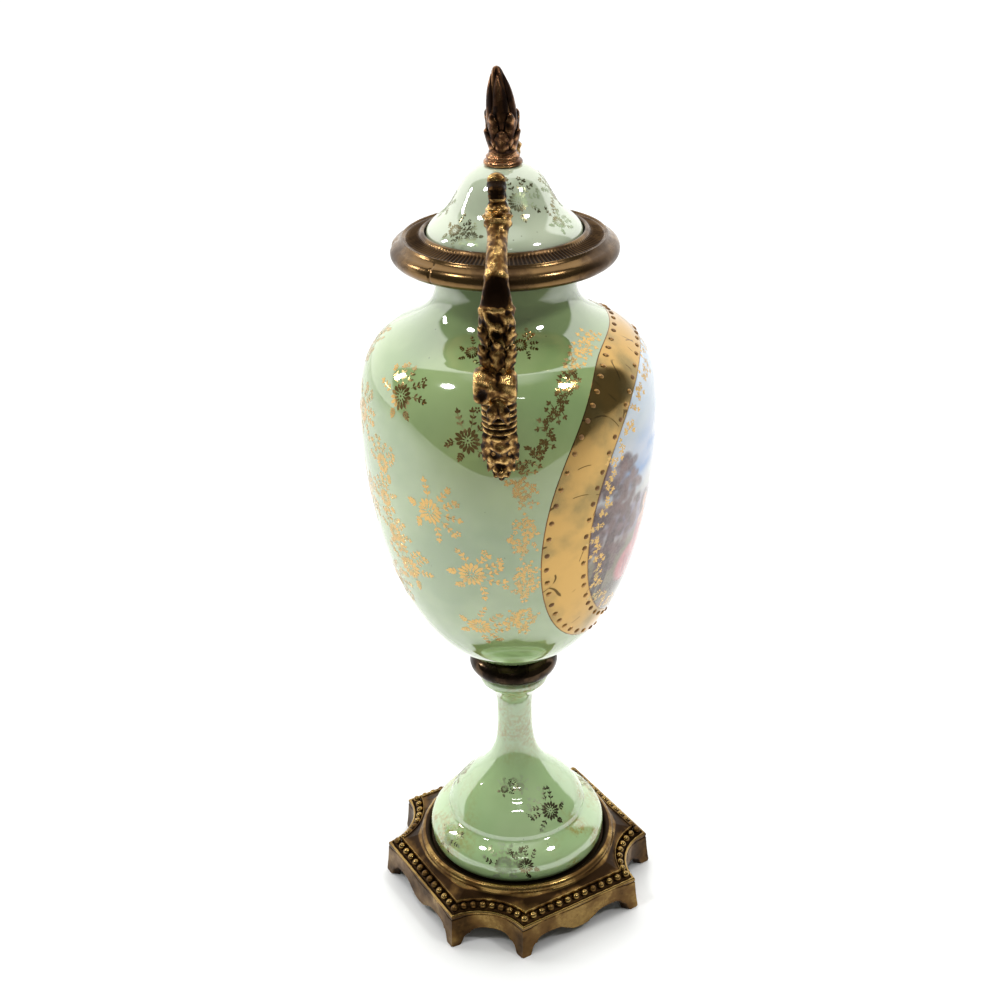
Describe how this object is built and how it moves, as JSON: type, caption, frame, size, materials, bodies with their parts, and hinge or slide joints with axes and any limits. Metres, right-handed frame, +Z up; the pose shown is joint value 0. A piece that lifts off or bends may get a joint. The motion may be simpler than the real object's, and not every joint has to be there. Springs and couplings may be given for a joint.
{
  "type": "mantel urn",
  "caption": "Lidded porcelain mantel urn on a tall stem foot, with a scalloped cast brass base, rolled brass collar, leafy scroll handles and a bud finial.",
  "frame": {"origin": "middle of the base, on the surface that it stands on", "axes": "+Z up; the handles lie on +X and -X; the painted reserve faces -Y"},
  "size_m": [0.1632, 0.1274, 0.38],
  "materials": {
    "base_brass": "cast brass, worn gilding over brown patina",
    "green_porcelain": "glossy pale green lustre glaze with gilt and enamel decoration",
    "dark_brass": "dark polished bronze tone",
    "bronzed_brass": "brown bronzed, worn bright on the rolled edge",
    "gilt_brass": "cast and gilt, dark in the recesses"
  },
  "bodies": {
    "root": {"base": "base_brass", "foot": "green_porcelain", "knop": "dark_brass", "body": "green_porcelain", "collar": "bronzed_brass", "handle_right": "gilt_brass", "handle_left": "gilt_brass", "lid": "green_porcelain", "finial": "dark_brass"}
  },
  "joints": []
}
